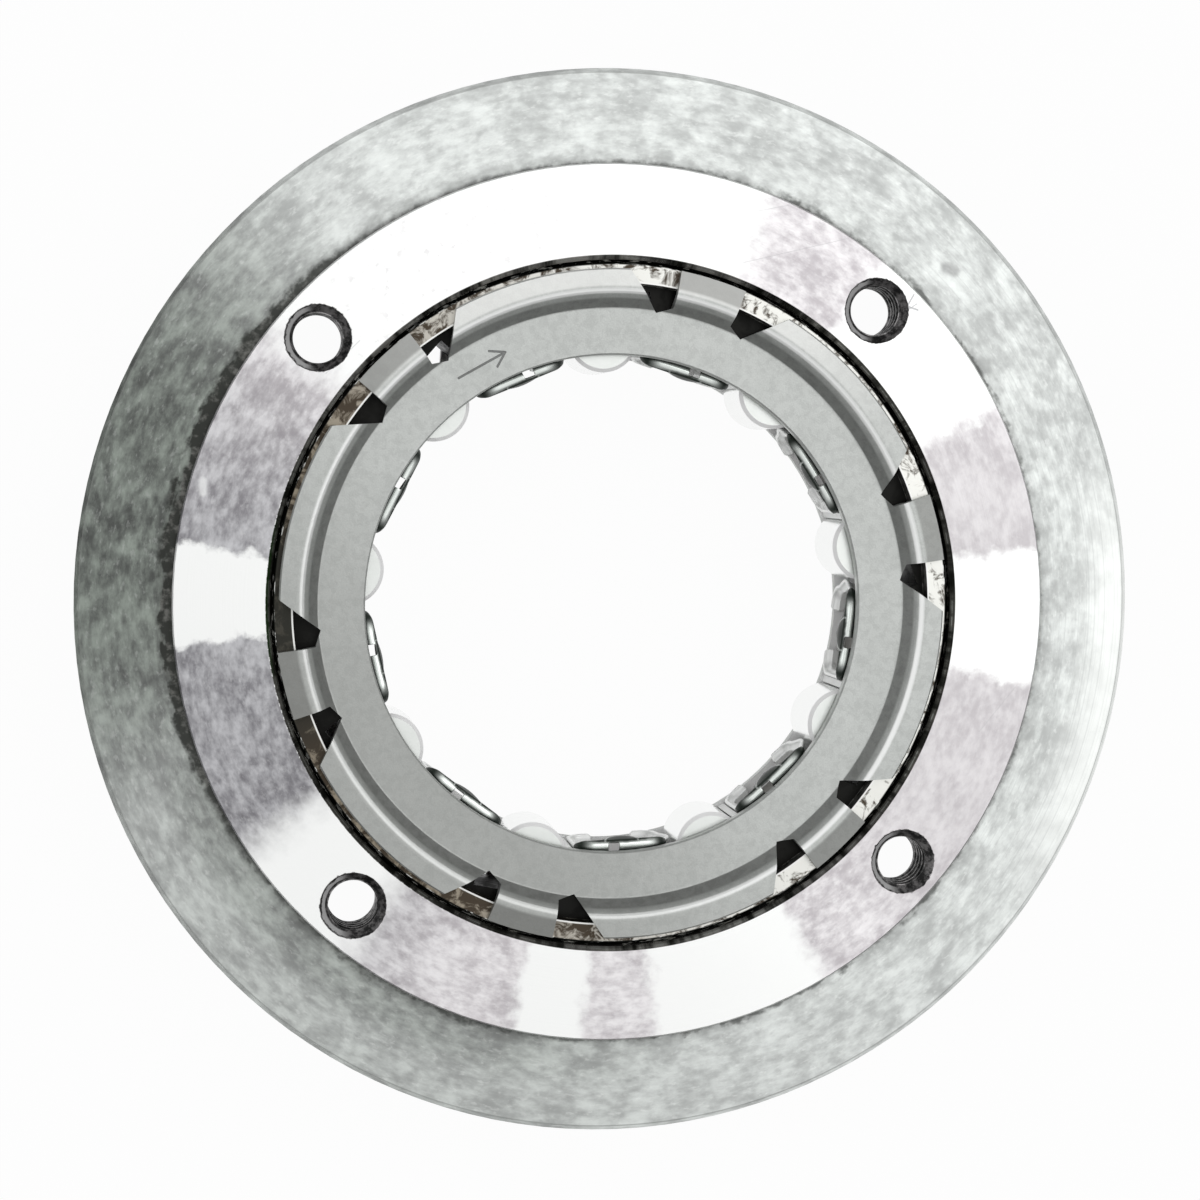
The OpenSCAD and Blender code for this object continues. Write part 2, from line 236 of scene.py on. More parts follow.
# Where noise turns from one thing to another: the values of its two ends
STROKE_STEP = (0.56, 0.70)
STAIN_STEP = (0.34, 0.68)
SMUDGE_STEP = (0.34, 0.66)
TURNING_STEP = (0.50, 0.62)
FLECK_STEP = (0.60, 0.68)
CAKE_STEP = (0.36, 0.62)
SPECKLE_STEP = (0.46, 0.62)
GRIME_STEP = (0.45, 0.72)
OIL_STEP = (0.36, 0.60)
STREAK_STEP = (0.47, 0.56)
DASH_STEP = (0.52, 0.58)
HOLE_MOTTLE_STEP = (0.40, 0.65)
RACE_STAIN_STEP = (0.38, 0.52)
CHIP_STEP = (0.56, 0.62)
BLOTCH_STEP = (0.56, 0.40)
GRAIN_STEP = (0.30, 0.75)
WALL_SHADE_STEP = (0.35, 0.65)

# Reaches of painted shade, painted light and dirt outwards from the step of the raised face, and how far
# noise moves them
LOWER_SHADE_REACH = (6.2, 2.2)
RIGHT_LIGHT_START = 3
SHADE_REACH = 1.2
SHADE_WANDER = 2.4
SHADE_STEP = (1.7, -0.1)
CAKE_REACH = (0.35, 1.25)
SPECKLE_REACH = 0.45
GRIME_REACH = 0.14
GRIME_WANDER = 1.1
GRIME_SOFT = (0.45, -0.25)

# How far inside the flange's edge the painted light on its rim is full, and how many radians the edges of
# the painted highlight fans wander
RIGHT_LIGHT_INSET = 1
FAN_WANDER = 0.10

# Colours of the flange's rim: plain, in painted shade and in painted light, its turning lines, the painted
# shade beside the step and the painted shade line at its edge
RIM_DARK = (0.50, 0.515, 0.505)
RIM_PALE = (0.79, 0.82, 0.80)
RIM_STROKE = (0.95, 0.97, 0.95)
SHADED_RIM_DARK = (0.095, 0.10, 0.095)
SHADED_RIM_PALE = (0.30, 0.335, 0.30)
SHADED_RIM_STROKE = (0.50, 0.52, 0.50)
RIM_LIGHT = (0.87, 0.89, 0.87)
RIM_TURNED = (0.50, 0.52, 0.51)
RIM_SHADE = (0.10, 0.104, 0.098)
RIM_EDGE_SHADE = (0.20, 0.21, 0.20)

# Colours of its ground annulus: clean, smudged with painted shade on the left, and the painted highlight
# of its fans
GROUND_DARK = (0.52, 0.49, 0.51)
GROUND_PALE = (0.90, 0.88, 0.89)
GROUND_STROKE = (0.97, 0.97, 0.97)
SMUDGED_SHADE_DARK = (0.20, 0.195, 0.21)
SMUDGED_SHADE_PALE = (0.56, 0.56, 0.58)
SMUDGED_SHADE_STROKE = (0.72, 0.72, 0.73)
GREASE = (0.52, 0.50, 0.51)
FAN_HIGHLIGHT = (0.98, 0.99, 0.98)

# Colours of dirt that is partly painted shade, of oil and of threads, and of the painted light on the
# countersinks
GRIME_SHADE_DARK = (0.040, 0.042, 0.038)
GRIME_SHADE_PALE = (0.15, 0.15, 0.14)
OIL_DARK = (0.022, 0.023, 0.019)
OIL_FILM = (0.17, 0.165, 0.15)
OIL_FILM_PALE = (0.42, 0.41, 0.39)
OIL_STREAK = (0.50, 0.51, 0.49)
OIL_GREEN = (0.032, 0.10, 0.02)
TICK_WHITE = (0.96, 0.97, 0.96)
THREAD_DARK = (0.045, 0.045, 0.045)
THREAD_PALE = (0.34, 0.33, 0.33)
CONE_LIGHT = (0.46, 0.46, 0.46)

# Colours of the cam ring
RACE_PALE = (0.80, 0.80, 0.76)
RACE_BROWN = (0.30, 0.26, 0.20)
RACE_STAIN = (0.07, 0.055, 0.04)
RACE_BLACK = (0.03, 0.031, 0.027)
RECESS_EDGE_HIGHLIGHT = (0.85, 0.85, 0.83)
RECESS_SHADE = (0.012, 0.012, 0.011)
POCKET_WALL = (0.20, 0.195, 0.18)
INNER_WALL_LIGHT = (0.93, 0.94, 0.93)
CHIP_DARK = (0.015, 0.016, 0.013)
CHIP_PALE = (0.85, 0.86, 0.83)

# Colours of the side plates
PLATE_DARK = (0.53, 0.55, 0.53)
PLATE_PALE = (0.67, 0.69, 0.67)
BLOTCH = (0.25, 0.26, 0.25)
PLATE_SHADE = (0.28, 0.285, 0.27)
GRAIN = (0.2, 0.2, 0.2)
LIT = (0.97, 0.97, 0.95)
TAB_SHADE = (0.16, 0.16, 0.15)
SHOULDER_HIGHLIGHT = (0.95, 0.96, 0.95)
WALL_SHADE = (0.08, 0.08, 0.075)
ARROW = (0.10, 0.10, 0.10)
INNER_FACE_LIGHT = (0.98, 0.98, 0.98)

# Colours of the rollers and springs
ROLLER_DARK = (0.74, 0.77, 0.74)
ROLLER_PALE = (0.86, 0.88, 0.86)
ROLLER_SIDE_LIGHT = (0.97, 0.98, 0.97)
ROLLER_CHAMFER_LIGHT = (1.0, 1.0, 1.0)
CREST_DARK = (0.62, 0.66, 0.63)
CREST_PALE = (0.88, 0.92, 0.89)
SPRING_DEEP_LIGHT = (0.96, 0.97, 0.96)
SPRING_SHADE = (0.02, 0.028, 0.022)

# Depths of a spring below its front, where the crest's light, the painted shade of the bends and the
# tongue end
TOP_DEPTH = 0.95
BEND_DEPTH = 1.5
TONGUE_DEPTH = 3.0

# Light: the sky that reflections see, its rise towards the key lamp, and the level of soft light
SKY_LEVEL = 0.95
SKY_SLOPE = (0.30, 0.15, 0)
HORIZON = (0.05, 0.95)
HORIZON_LEVEL = 0.05
DIFFUSE_LEVEL = 0.5

# Lamps: name, place and size in metres, and power in watts. They point at a place near the middle.
LAMPS = (
    ("key", (0.45, 0.3, 0.6), 0.8, 1.6),
    ("fill", (-0.5, 0.1, 0.5), 0.6, 0.6),
)
LAMP_TARGET = (0, 0, 0.01)

# Floor: its size in metres, its colour, the share that shows as plain white, and its gap below the hub
FLOOR_SIZE = 4.0
FLOOR_COLOR = (0.9, 0.9, 0.9, 1)
FLOOR_ROUGHNESS = 0.9
FLOOR_PLAIN = 0.96
FLOOR_GAP = 0.02

# Camera, as the photograph was taken. Its clipping distances are in metres.
CAMERA_PLACE = (-37.7, 14.89, 259.94)
CAMERA_TARGET = (-1.69, 0.57, 15.0)
CAMERA_ROLL = -0.16
CAMERA_LENS = 76.5
CAMERA_SENSOR = 36
CAMERA_CLIP = (0.01, 10)


class Nodes:
    """A tree of shader nodes, with a short call for each kind of node that the looks need."""

    def __init__(self, tree):
        self.tree = tree

    def node(self, kind, **settings):
        made = self.tree.nodes.new(kind)
        for key, value in settings.items():
            setattr(made, key, value)
        return made

    def put(self, socket, value):
        """Links a socket to a value that other nodes work out, or sets it to a plain one."""
        if isinstance(value, bpy.types.NodeSocket):
            self.tree.links.new(value, socket)
        else:
            socket.default_value = value

    def math(self, operation, *values, clamp=False):
        made = self.node("ShaderNodeMath", operation=operation, use_clamp=clamp)
        for socket, value in zip(made.inputs, values):
            self.put(socket, value)
        return made.outputs[0]

    def vector(self, operation, *values, output="Vector"):
        made = self.node("ShaderNodeVectorMath", operation=operation)
        for socket, value in zip(made.inputs, values):
            self.put(socket, value)
        return made.outputs[output]

    def scaled(self, vector, factor):
        made = self.node("ShaderNodeVectorMath", operation="SCALE")
        self.put(made.inputs[0], vector)
        self.put(made.inputs["Scale"], factor)
        return made.outputs["Vector"]

    def length(self, vector):
        return self.vector("LENGTH", vector, output="Value")

    def split(self, vector):
        made = self.node("ShaderNodeSeparateXYZ")
        self.put(made.inputs[0], vector)
        return made.outputs

    def joined(self, x, y, z):
        made = self.node("ShaderNodeCombineXYZ")
        for socket, value in zip(made.inputs, (x, y, z)):
            self.put(socket, value)
        return made.outputs[0]

    def step(self, value, low, high):
        """0 below low, 1 above high and smooth between. With low above high it falls."""
        made = self.node("ShaderNodeMapRange", interpolation_type="SMOOTHSTEP")
        ends = (low, high, 0, 1) if low < high else (high, low, 1, 0)
        self.put(made.inputs["Value"], value)
        for name, end in zip(("From Min", "From Max", "To Min", "To Max"), ends):
            self.put(made.inputs[name], end)
        return made.outputs["Result"]

    def within(self, value, low, high, soft):
        """1 between low and high, 0 outside, with soft edges."""
        rise = self.step(value, low - soft, low + soft)
        fall = self.step(value, high + soft, high - soft)
        return self.math("MULTIPLY", rise, fall)

    def times(self, *values):
        product = values[0]
        for value in values[1:]:
            product = self.math("MULTIPLY", product, value)
        return product

    def most(self, *values):
        largest = values[0]
        for value in values[1:]:
            largest = self.math("MAXIMUM", largest, value)
        return largest

    def mix(self, factor, first, second):
        """first where factor is 0 and second where it is 1, as colours."""
        made = self.node("ShaderNodeMix", data_type="RGBA")
        self.put(made.inputs[0], factor)
        self.put(made.inputs[6], first if hasattr(first, "node") else (*first, 1))
        self.put(made.inputs[7], second if hasattr(second, "node") else (*second, 1))
        return made.outputs[2]

    def between(self, factor, first, second):
        """first where factor is 0 and second where it is 1, as numbers."""
        made = self.node("ShaderNodeMix", data_type="FLOAT")
        self.put(made.inputs[0], factor)
        self.put(made.inputs[2], first)
        self.put(made.inputs[3], second)
        return made.outputs[0]


class Graph(Nodes):
    """The nodes of a piece's material. Places are in millimetres in the model's frame."""

    def __init__(self, name):
        self.material = bpy.data.materials.new(name)
        self.material.use_nodes = True
        super().__init__(self.material.node_tree)
        self.shader = self.tree.nodes["Principled BSDF"]
        coordinates = self.node("ShaderNodeTexCoord")
        self.place = self.scaled(coordinates.outputs["Object"], 1 / MM)
        self.x, self.y, self.z = self.split(self.place)
        self.facing_x, _, self.tilt = self.split(coordinates.outputs["Normal"])
        flat = self.joined(self.x, self.y, 0)
        self.radius = self.length(flat)
        self.angle = self.math("ARCTAN2", self.y, self.x)
        self.way = self.vector("NORMALIZE", flat)

    def noise(self, place, size, detail=3, roughness=0.5, distortion=0):
        """Cloudy noise from 0 to 1, whose clouds are about size millimetres wide."""
        made = self.node("ShaderNodeTexNoise")
        self.put(made.inputs["Vector"], place)
        self.put(made.inputs["Scale"], 1 / size)
        self.put(made.inputs["Detail"], detail)
        self.put(made.inputs["Roughness"], roughness)
        self.put(made.inputs["Distortion"], distortion)
        return made.outputs[0]

    def drawn(self, across, around, detail):
        """Noise drawn out round the axis: across millimetres wide and around times longer."""
        outward = self.math("SUBTRACT", self.radius, self.z)
        turned = self.scaled(self.way, FLANGE_R / around)
        place = self.vector("ADD", turned, self.joined(0, 0, outward))
        return self.noise(place, across, detail, 0.6)

    def centred(self, value):
        """Noise shifted so that its middle is 0."""
        return self.math("SUBTRACT", value, 0.5)

    def toward(self, degrees, half, soft, angle=None):
        """1 up to half - soft degrees from a direction and 0 past half + soft degrees from it."""
        turned = self.math("SUBTRACT", self.angle if angle is None else angle, math.radians(degrees))
        outside = math.cos(math.radians(half + soft))
        inside = math.cos(math.radians(max(half - soft, 0)))
        return self.step(self.math("COSINE", turned), outside, inside)

    def any_sector(self, sectors, wander=0):
        """1 in each of some sectors. wander turns their edges by some radians from place to place."""
        angle = self.math("ADD", self.angle, wander)
        return self.most(*(self.toward(*sector, angle) for sector in sectors))

    def folded(self, count, first_degrees, radius):
        """Place seen from the nearest of count points that lie round the axis on a circle."""
        share = math.radians(360 / count)
        turned = self.math("SUBTRACT", self.angle, math.radians(first_degrees) - share / 2)
        turned = self.math("FLOORED_MODULO", turned, share)
        turned = self.math("SUBTRACT", turned, share / 2)
        out = self.math("MULTIPLY", self.radius, self.math("COSINE", turned))
        along = self.math("MULTIPLY", self.radius, self.math("SINE", turned))
        return self.math("SUBTRACT", out, radius), along

    def from_line(self, start, end):
        """Distance in plan from the straight line between two points."""
        run_x, run_y = end[0] - start[0], end[1] - start[1]
        from_x = self.math("SUBTRACT", self.x, start[0])
        from_y = self.math("SUBTRACT", self.y, start[1])
        share = self.math("MULTIPLY", from_x, run_x)
        share = self.math("MULTIPLY_ADD", from_y, run_y, share)
        share = self.math("DIVIDE", share, run_x ** 2 + run_y ** 2, clamp=True)
        off_x = self.math("MULTIPLY_ADD", share, -run_x, from_x)
        off_y = self.math("MULTIPLY_ADD", share, -run_y, from_y)
        return self.length(self.joined(off_x, off_y, 0))

    def finish(self, color, metallic, roughness, relief, depth):
        """Connects the shader. The relief runs from 0 to 1 and is depth millimetres deep."""
        self.put(self.shader.inputs["Base Color"], color)
        self.put(self.shader.inputs["Metallic"], metallic)
        self.put(self.shader.inputs["Roughness"], roughness)
        bump = self.node("ShaderNodeBump")
        bump.inputs["Strength"].default_value = 1
        bump.inputs["Distance"].default_value = depth * MM
        self.put(bump.inputs["Height"], relief)
        self.put(self.shader.inputs["Normal"], bump.outputs[0])
        return self.material


class FlangeSteel(Graph):
    """Turned steel: a stained rim, a bright ground annulus, oily edges and dark threads."""

    def __init__(self):
        super().__init__("flange_steel")
        self.clouds = self.noise(self.place, *STAIN_CLOUDS)
        self.dabs = self.drawn(*DABS)
        self.lumpy = self.noise(self.place, *GRIME_CLOUDS)
        self.turning = self.noise(self.joined(0, 0, self.radius), *TURNING_LINES)
        self.strokes = self.step(self.drawn(*STROKES), *STROKE_STEP)
        self.mottle = self.between(0.5, self.dabs, self.clouds)

    def rim(self, stain):
        """Painted shade makes it dark and slightly green on the left and darker below, painted light makes
        it paler at the right, and painted shade lies beside the step and along the edge.
        """
        # Painted shade: darker and slightly green on the left, and darker below near the step
        near = self.step(self.radius, RAISED_R + LOWER_SHADE_REACH[0], RAISED_R + LOWER_SHADE_REACH[1])
        shade_below = self.times(self.toward(*LOWER_SHADE_SECTOR), self.between(near, 0.32, 0.64))
        side_shade = self.most(self.toward(*LEFT_SHADE_SECTOR), shade_below)
        dark = self.mix(side_shade, RIM_DARK, SHADED_RIM_DARK)
        pale = self.mix(side_shade, RIM_PALE, SHADED_RIM_PALE)
        rim = self.mix(stain, dark, pale)
        rim = self.mix(self.times(self.strokes, 0.28), rim, self.mix(side_shade, RIM_STROKE, SHADED_RIM_STROKE))
        # Painted light: paler at the right, towards the edge
        outside = self.step(self.radius, RAISED_R + RIGHT_LIGHT_START, FLANGE_R - RIGHT_LIGHT_INSET)
        rim = self.mix(self.times(self.toward(*RIGHT_LIGHT_SECTOR), outside), rim, RIM_LIGHT)
        lines = self.times(self.step(self.turning, *TURNING_STEP), self.toward(*TURNED_SECTOR), 0.3)
        rim = self.mix(lines, rim, RIM_TURNED)
        past_step = self.math("SUBTRACT", self.radius, RAISED_R + SHADE_REACH)
        near_step = self.math("MULTIPLY_ADD", self.clouds, SHADE_WANDER, past_step)
        shade_level = self.between(self.toward(*SHADED_SECTOR), 0.22, 0.62)
        rim = self.mix(self.times(self.step(near_step, *SHADE_STEP), shade_level), rim, RIM_SHADE)
        # Painted shade: a thin dark line just inside the chamfer of the flange's edge
        edge_r = FLANGE_R - FLANGE_EDGE
        edge_shade_line = self.within(self.radius, edge_r - 0.12, edge_r, 0.05)
        return self.mix(self.times(edge_shade_line, 0.55), rim, RIM_EDGE_SHADE)

    def highlight_fans(self):
        """Painted highlight: sectors of the ground annulus painted white where its turning catches the
        light.
        """
        flecks = self.step(self.drawn(*FLECKS), *FLECK_STEP)
        flecks = self.times(flecks, self.toward(*FLECKED_SECTOR), 0.35)
        wander = self.times(self.centred(self.noise(self.place, *FAN_CLOUDS)), FAN_WANDER)
        return self.math("SUBTRACT", self.any_sector(HIGHLIGHT_FAN_SECTORS, wander), flecks, clamp=True)

    def ground(self, highlight_fans):
        """The ground annulus, smudged between its painted highlight fans, and darker on the left with
        painted shade.
        """
        # Smudges, with painted shade over them on the left
        smudged_shade = self.toward(*SMUDGED_SHADE_SECTOR)
        dark = self.mix(smudged_shade, GROUND_DARK, SMUDGED_SHADE_DARK)
        pale = self.mix(smudged_shade, GROUND_PALE, SMUDGED_SHADE_PALE)
        ground = self.mix(self.step(self.mottle, *SMUDGE_STEP), dark, pale)
        stroke = self.mix(smudged_shade, GROUND_STROKE, SMUDGED_SHADE_STROKE)
        ground = self.mix(self.times(self.strokes, 0.22), ground, stroke)
        ground = self.mix(self.times(self.toward(*GREASY_SECTOR), 0.5), ground, GREASE)
        return self.mix(highlight_fans, ground, FAN_HIGHLIGHT)

    def with_grime_and_shade(self, color):
        """Adds the dirt, partly painted shade, on the wall of the step and in lumps beside it."""
        lumps = self.drawn(*LUMPS)
        cake = self.toward(*CAKED_SECTOR)
        caked = self.times(cake, self.between(self.step(lumps, *CAKE_STEP), *CAKE_REACH))
        speckles = self.step(lumps, *SPECKLE_STEP)
        speckled = self.times(self.any_sector(SPECKLED_SECTORS), speckles, SPECKLE_REACH)
        reach = self.math("ADD", self.most(caked, speckled), RAISED_R + GRIME_REACH)
        past = self.math("SUBTRACT", self.radius, reach)
        past = self.math("MULTIPLY_ADD", self.centred(self.lumpy), GRIME_WANDER, past)
        # Grime, partly painted shade in the corner of the step, wider on the left
        grime_and_shade = self.times(
            self.step(self.radius, RAISED_R - 0.1, RAISED_R + 0.08),
            self.step(past, *GRIME_SOFT),
            self.step(self.z, RAISED_Z - 0.05, RAISED_Z - 0.2),
            self.step(self.z, RIM_Z - 0.6, RIM_Z - 0.3),
            self.between(cake, 0.75, 1.0),
        )
        return self.mix(grime_and_shade, color, self.mix(self.step(self.lumpy, *GRIME_STEP), GRIME_SHADE_DARK, GRIME_SHADE_PALE))

    def with_oil(self, color, oily):
        """Adds the oil in the chamfer and bore round the cam ring, and the bright ticks along its edge."""
        lines = self.drawn(*OIL_LINES)
        film = self.mix(self.any_sector(PALE_GROOVE_SECTORS), OIL_FILM, OIL_FILM_PALE)
        oil = self.mix(self.step(lines, *OIL_STEP), OIL_DARK, film)
        streak = self.within(self.radius, RING_R + 0.14, RING_R + 0.2, 0.05)
        oil = self.mix(self.times(streak, self.step(lines, *STREAK_STEP)), oil, OIL_STREAK)
        green = self.times(self.toward(*GREEN_SECTOR), self.step(self.radius, RING_R, MOUTH_R - 0.1), 0.85)
        oil = self.mix(green, oil, OIL_GREEN)
        color = self.mix(oily, color, oil)
        edge = self.within(self.radius, MOUTH_R - 0.05, MOUTH_R + 0.04, 0.04)
        dashes = self.step(self.drawn(*DASHES), *DASH_STEP)
        return self.mix(self.times(edge, dashes, self.toward(*TICKED_SECTOR)), color, TICK_WHITE)

    def with_threads(self, color):
        """Adds the threads and the ragged countersinks, mottled dark and grey. Gives the colour, and the
        cones' lighter side, which is painted light.
        """
        out, along = self.folded(HOLE_COUNT, HOLE_ANGLE, HOLE_CIRCLE_R)
        from_hole = self.length(self.joined(out, along, 0))
        ragged = self.centred(self.noise(self.place, *RAGGED_CLOUDS))
        ragged = self.math("MULTIPLY_ADD", ragged, 0.5, from_hole)
        threads = self.times(
            self.step(ragged, COUNTERSINK_R + 0.05, COUNTERSINK_R - 0.05),
            self.step(self.z, FLANGE_REAR_Z - 0.2, FLANGE_REAR_Z - 0.1),
        )
        # Mottled dark and grey in the holes
        hole_mottle = self.step(self.noise(self.place, *HOLE_MOTTLE_CLOUDS), *HOLE_MOTTLE_STEP)
        hole_color = self.mix(hole_mottle, THREAD_DARK, THREAD_PALE)
        # Painted light: the sides of the countersinks that face +X are paler and not metallic
        lit_cone = self.times(
            self.step(from_hole, THREAD_CORE_R + 0.12, THREAD_CORE_R + 0.25),
            self.step(ragged, COUNTERSINK_R - 0.08, COUNTERSINK_R - 0.2),
            self.step(self.z, RAISED_Z - 1.0, RAISED_Z - 0.8),
            self.step(self.facing_x, 0.0, 0.35),
        )
        hole_color = self.mix(lit_cone, hole_color, CONE_LIGHT)
        return self.mix(threads, color, hole_color), lit_cone

    def build(self):
        """Joins the rim, the ground annulus, the bore and the holes in one material."""
        stain = self.step(self.mottle, *STAIN_STEP)
        highlight_fans = self.highlight_fans()
        on_top = self.step(self.radius, RAISED_R + 0.1, RAISED_R - 0.05)
        raised = self.times(on_top, self.step(self.z, RIM_Z, RAISED_Z))
        color = self.mix(raised, self.rim(stain), self.ground(highlight_fans))
        for start, end, half, mark, share in MARKS:
            line = self.step(self.from_line(start, end), half, half * MARK_CORE)
            color = self.mix(self.times(line, share), color, mark)
        color = self.with_grime_and_shade(color)
        in_mouth = self.step(self.radius, MOUTH_R + 0.05, MOUTH_R - 0.04)
        oily = self.times(in_mouth, self.step(self.z, 1, 2))
        color = self.with_oil(color, oily)
        color, lit_cone = self.with_threads(color)
        roughness = self.between(raised, self.between(stain, 0.50, 0.38), self.between(highlight_fans, 0.38, 0.30))
        roughness = self.between(oily, roughness, 0.25)
        fine = self.math("MULTIPLY", self.dabs, 0.5)
        relief = self.math("MULTIPLY_ADD", self.turning, self.times(raised, 0.7), fine)
        self.shader.inputs["Anisotropic"].default_value = 0.5
        tangent = self.node("ShaderNodeTangent", direction_type="RADIAL", axis="Z")
        self.put(self.shader.inputs["Tangent"], tangent.outputs[0])
        return self.finish(color, self.between(lit_cone, 0.9, 0.0), roughness, relief, 0.012)


def race_steel():
    """Ground steel of the cam ring, stained brown on its face and chipped along its edge, with a painted
    highlight round its recess, painted shade on the recess wall and painted light beside the race.
    """
    g = Graph("race_steel")
    clouds = g.noise(g.place, *RACE_CLOUDS)
    brown = g.toward(*BROWN_SECTOR)
    stain = g.step(g.math("MULTIPLY_ADD", brown, -0.1, clouds), *RACE_STAIN_STEP)
    color = g.mix(stain, RACE_STAIN, g.mix(brown, RACE_PALE, RACE_BROWN))
    color = g.mix(g.times(g.toward(*BLACK_SECTOR), 0.9), color, RACE_BLACK)
    face = g.step(g.z, RING_FRONT_Z - 0.1, RING_FRONT_Z - 0.02)
    # Painted highlight: a pale line round the rim of the recess
    recess_edge_highlight = g.times(face, g.step(g.radius, RECESS_R + 0.2, RECESS_R + 0.12))
    color = g.mix(recess_edge_highlight, color, RECESS_EDGE_HIGHLIGHT)
    # Painted shade: the wall of the recess near black; deeper in, the pocket walls are dark steel
    inside = g.step(g.radius, RECESS_R + 0.03, RECESS_R - 0.03)
    pocket = g.step(g.radius, POCKET_R + 0.5, POCKET_R)
    color = g.mix(inside, color, g.mix(pocket, RECESS_SHADE, POCKET_WALL))
    # Painted light: beside the race the ring is painted nearly white and not metallic
    beside_race = g.step(g.radius, PLATE_BORE_R + 1.4, PLATE_BORE_R + 0.6)
    color = g.mix(beside_race, color, INNER_WALL_LIGHT)
    chips = g.step(g.drawn(*CHIPS), *CHIP_STEP)
    edge = g.step(g.radius, RING_R - RING_CHAMFER - 0.12, RING_R - RING_CHAMFER)
    color = g.mix(edge, color, g.mix(chips, CHIP_DARK, CHIP_PALE))
    metallic = g.between(beside_race, 0.9, 0.1)
    return g.finish(color, metallic, g.between(stain, 0.5, 0.35), clouds, 0.02)


def arrow_lines():
    """The shaft and the two barbs of the arrow, as pairs of points."""
    a = math.radians(ARROW_ANGLE)
    middle = Vector((math.cos(a), math.sin(a))) * ARROW_R
    ahead = Vector((math.sin(a), -math.cos(a)))
    tip = middle + ahead * ARROW_L / 2
    lines = [(middle - ahead * ARROW_L / 2, tip)]
    for side in (-1, 1):
        barb = ahead.copy()
        barb.rotate(Matrix.Rotation(math.radians(180 + side * ARROW_SPREAD), 2))
        lines.append((tip, tip + barb * ARROW_HEAD))
    return lines


def plate_steel():
    """Blasted sheet steel with a fine grain, with painted shade on the conical wall, the tabs and the
    lower left, painted light at the top and on the rear plate's inner face, and a painted highlight on the
    shoulder.
    """
    g = Graph("plate_steel")
    grain = g.noise(g.place, *PLATE_GRAIN)
    blotches = g.noise(g.place, *PLATE_BLOTCHES)
    plate_shade = g.toward(*PLATE_SHADE_SECTOR)
    color = g.mix(g.noise(g.place, *PLATE_CLOUDS), PLATE_DARK, PLATE_PALE)
    color = g.mix(g.times(g.step(blotches, *BLOTCH_STEP), 0.16), color, BLOTCH)
    # Painted shade: darker towards the lower left
    color = g.mix(g.times(plate_shade, 0.45), color, PLATE_SHADE)
    color = g.mix(g.step(grain, *GRAIN_STEP), g.mix(0.2, color, GRAIN), color)

    # Painted shade on the tabs and the conical wall, painted light past the shoulder at the top, and a
    # painted highlight on the shoulder
    # Painted light past the shoulder at the top
    past_shoulder = g.step(g.radius, SHOULDER_R + 0.2, SHOULDER_R + 0.6)
    color = g.mix(g.times(past_shoulder, g.toward(*LIT_SECTOR), 0.5), color, LIT)
    # Painted shade on the outer parts of the tabs
    _, along = g.folded(TAB_COUNT, TAB_ANGLE, 0)
    turned = g.math("DIVIDE", g.math("ABSOLUTE", along), g.radius)
    on_tab = g.step(turned, math.radians(TAB_HALF + 1), math.radians(TAB_HALF + 0.6))
    outer = g.step(g.radius, DISH_R + 2.1, DISH_R + 2.5)
    color = g.mix(g.times(on_tab, outer, 0.55), color, TAB_SHADE)
    # Painted highlight on the shoulder, weaker in the painted shade on the lower left
    shoulder_highlight = g.within(g.radius, SHOULDER_R - 0.25, SHOULDER_R + 0.2, 0.14)
    color = g.mix(g.times(shoulder_highlight, g.between(plate_shade, 0.85, 0.25)), color, SHOULDER_HIGHLIGHT)
    # Painted shade on the conical wall, varied by the blotches
    sloping = g.step(g.math("ABSOLUTE", g.tilt), 0.88, 0.74)
    wall_shade = g.times(sloping, g.within(g.radius, DISH_R, SHOULDER_R - 0.7, 0.12))
    wall_shade_level = g.math("MULTIPLY_ADD", g.step(blotches, *WALL_SHADE_STEP), 0.2, 0.36)
    color = g.mix(g.times(wall_shade, wall_shade_level), color, WALL_SHADE)

    # Arrow, and the inner face of the rear plate, painted pale as painted light
    lines = [g.step(g.from_line(*line), ARROW_LINE, ARROW_CORE) for line in arrow_lines()]
    arrow = g.times(g.most(*lines), g.step(g.z, RING_FRONT_Z - 1, RING_FRONT_Z - 0.7))
    color = g.mix(g.times(arrow, 0.75), color, ARROW)
    # Painted light: the rear plate's inner face pale and not metallic
    behind = g.times(g.step(g.tilt, 0.5, 0.7), g.step(g.z, LOOP_MID_Z, LOOP_MID_Z - 1))
    color = g.mix(behind, color, INNER_FACE_LIGHT)
    cut = g.math("SUBTRACT", grain, g.times(arrow, ARROW_DEPTH))
    relief = g.math("MULTIPLY_ADD", blotches, 1.5, cut)
    roughness = g.between(shoulder_highlight, g.between(grain, 0.42, 0.58), 0.36)
    return g.finish(color, g.between(behind, 0.78, 0.0), roughness, relief, 0.012)


def roller_steel():
    """Finely ground rollers with pale ends and faint rings, their sides and chamfers painted near white as
    painted light.
    """
    g = Graph("roller_steel")
    out, along = g.folded(ROLLER_COUNT, ROLLER_ANGLE, ROLLER_PATH_R)
    from_middle = g.length(g.joined(out, along, 0))
    rings = g.noise(g.joined(0, 0, from_middle), *ROLLER_RINGS)
    slope = g.math("ABSOLUTE", g.tilt)
    end = g.step(slope, 0.5, 0.85)
    chamfer = g.within(slope, 0.4, 0.85, 0.1)
    color = g.mix(g.noise(g.place, *ROLLER_HAZE), ROLLER_DARK, ROLLER_PALE)
    # Painted light: sides and chamfers near white
    color = g.mix(end, ROLLER_SIDE_LIGHT, color)
    color = g.mix(chamfer, color, ROLLER_CHAMFER_LIGHT)
    return g.finish(color, g.between(chamfer, 0.9, 0.0), g.between(end, 0.18, 0.32), rings, 0.004)


